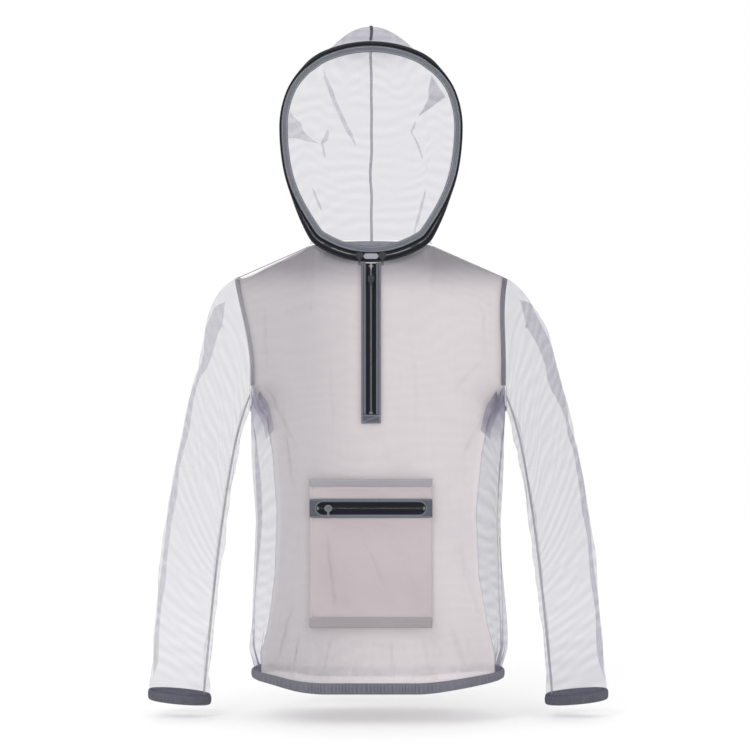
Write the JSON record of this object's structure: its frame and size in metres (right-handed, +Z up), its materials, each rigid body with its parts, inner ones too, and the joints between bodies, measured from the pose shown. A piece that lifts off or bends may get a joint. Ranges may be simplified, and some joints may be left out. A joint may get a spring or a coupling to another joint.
{
  "type": "beekeeping jacket",
  "caption": "Hooded pullover jacket of insect netting with a zip-on face veil, a chest zip, a zip pocket and gathered cuffs and hem.",
  "frame": {"origin": "base of the neck, midway between the neck ends of the two shoulder seams, where the wearer's or a hanger's neck carries the jacket", "axes": "+Z up, +Y backwards (the front and the face veil face -Y), +X to the wearer's left"},
  "size_m": [0.7348, 0.2371, 1.0763],
  "materials": {
    "sheer_net": "fine sheer woven netting, matt",
    "body_cloth": "cream-grey netting over a pale ground, matt",
    "pocket_cloth": "doubled grey-mauve netting, matt",
    "slate_binding": "slate-blue woven binding with pale stitching",
    "casing_cloth": "dark grey gathered casing",
    "seam_tape": "folded seam of several net layers",
    "elastic": "flat braided elastic",
    "zip_tape": "black woven zip tape",
    "zip_teeth": "black nylon coil, soft gloss",
    "slider_metal": "dark plated die-cast metal",
    "end_tab": "light grey woven tab"
  },
  "bodies": {
    "torso": {"front_panel": "body_cloth", "back_panel": "body_cloth", "left_side_panel": "sheer_net", "right_side_panel": "sheer_net", "hem_casing": "casing_cloth", "hem_elastic": "elastic", "left_shoulder_seam": "seam_tape", "right_shoulder_seam": "seam_tape", "left_armhole_seam": "seam_tape", "right_armhole_seam": "seam_tape", "hood_left_panel": "sheer_net", "hood_right_panel": "sheer_net", "hood_centre_seam": "seam_tape", "neck_binding": "seam_tape", "ring_outer_tape": "zip_tape", "ring_outer_teeth": "zip_teeth", "chest_left_tape": "zip_tape", "chest_right_tape": "zip_tape", "chest_left_teeth": "zip_teeth", "chest_right_teeth": "zip_teeth", "chest_left_binding": "slate_binding", "chest_right_binding": "slate_binding", "chest_bottom_patch": "slate_binding", "chest_top_stops": "slider_metal", "chest_bottom_stop": "slider_metal", "pocket_panel": "pocket_cloth", "pocket_top_strip": "pocket_cloth", "pocket_facing": "slate_binding", "pocket_bottom_hem": "pocket_cloth", "pocket_upper_tape": "zip_tape", "pocket_lower_tape": "zip_tape", "pocket_upper_teeth": "zip_teeth", "pocket_lower_teeth": "zip_teeth", "pocket_zip_stops": "slider_metal"},
    "left_sleeve": {"left_sleeve": "sheer_net", "left_cuff_casing": "casing_cloth", "left_cuff_elastic": "elastic"},
    "right_sleeve": {"right_sleeve": "sheer_net", "right_cuff_casing": "casing_cloth", "right_cuff_elastic": "elastic"},
    "veil": {"ring_inner_tape": "zip_tape", "ring_inner_teeth": "zip_teeth", "veil_binding": "slate_binding", "face_veil": "sheer_net", "ring_zip_tab": "end_tab"},
    "left_ring_slider": {"left_ring_slider": "slider_metal"},
    "right_ring_slider": {"right_ring_slider": "slider_metal"},
    "left_ring_pull": {"left_ring_pull": "slider_metal"},
    "right_ring_pull": {"right_ring_pull": "slider_metal"},
    "chest_slider": {"chest_slider": "slider_metal"},
    "chest_pull": {"chest_pull": "slider_metal"},
    "pocket_slider": {"pocket_slider": "slider_metal"},
    "pocket_pull": {"pocket_pull": "slider_metal"}
  },
  "joints": [
    {"name": "left_sleeve_swing", "type": "hinge", "parent": "torso", "child": "left_sleeve", "pos_m": [0.2192, 0, -0.053], "axis": [0, -1, 0], "range_deg": [0, 75]},
    {"name": "right_sleeve_swing", "type": "hinge", "parent": "torso", "child": "right_sleeve", "pos_m": [-0.2192, 0, -0.053], "axis": [0, 1, 0], "range_deg": [0, 75]},
    {"name": "veil_lift", "type": "hinge", "parent": "torso", "child": "veil", "pos_m": [0, -0.1046, 0.3032], "axis": [-1, 0, 0], "range_deg": [0, 100]},
    {"name": "left_ring_slider_run", "type": "hinge", "parent": "veil", "child": "left_ring_slider", "pos_m": [0, -0.1012, 0.124], "axis": [0, -1, 0], "range_deg": [0, 22]},
    {"name": "right_ring_slider_run", "type": "hinge", "parent": "veil", "child": "right_ring_slider", "pos_m": [0, -0.1012, 0.124], "axis": [0, 1, 0], "range_deg": [0, 22]},
    {"name": "left_ring_pull_flip", "type": "hinge", "parent": "left_ring_slider", "child": "left_ring_pull", "pos_m": [0.01779, -0.1072, -0.02091], "axis": [-1, 0, 0], "range_deg": [0, 120]},
    {"name": "right_ring_pull_flip", "type": "hinge", "parent": "right_ring_slider", "child": "right_ring_pull", "pos_m": [-0.01779, -0.1072, -0.02091], "axis": [-1, 0, 0], "range_deg": [0, 120]},
    {"name": "chest_slider_run", "type": "slide", "parent": "torso", "child": "chest_slider", "axis": [0, 0, -1], "range_m": [0, 0.195]},
    {"name": "chest_pull_flip", "type": "hinge", "parent": "chest_slider", "child": "chest_pull", "pos_m": [0, -0.1072, -0.057], "axis": [-1, 0, 0], "range_deg": [0, 120]},
    {"name": "pocket_slider_run", "type": "slide", "parent": "torso", "child": "pocket_slider", "axis": [1, 0, 0], "range_m": [-0.008, 0.136]},
    {"name": "pocket_pull_flip", "type": "hinge", "parent": "pocket_slider", "child": "pocket_pull", "pos_m": [-0.066, -0.116, -0.412], "axis": [-1, 0, 0], "range_deg": [0, 120]}
  ]
}
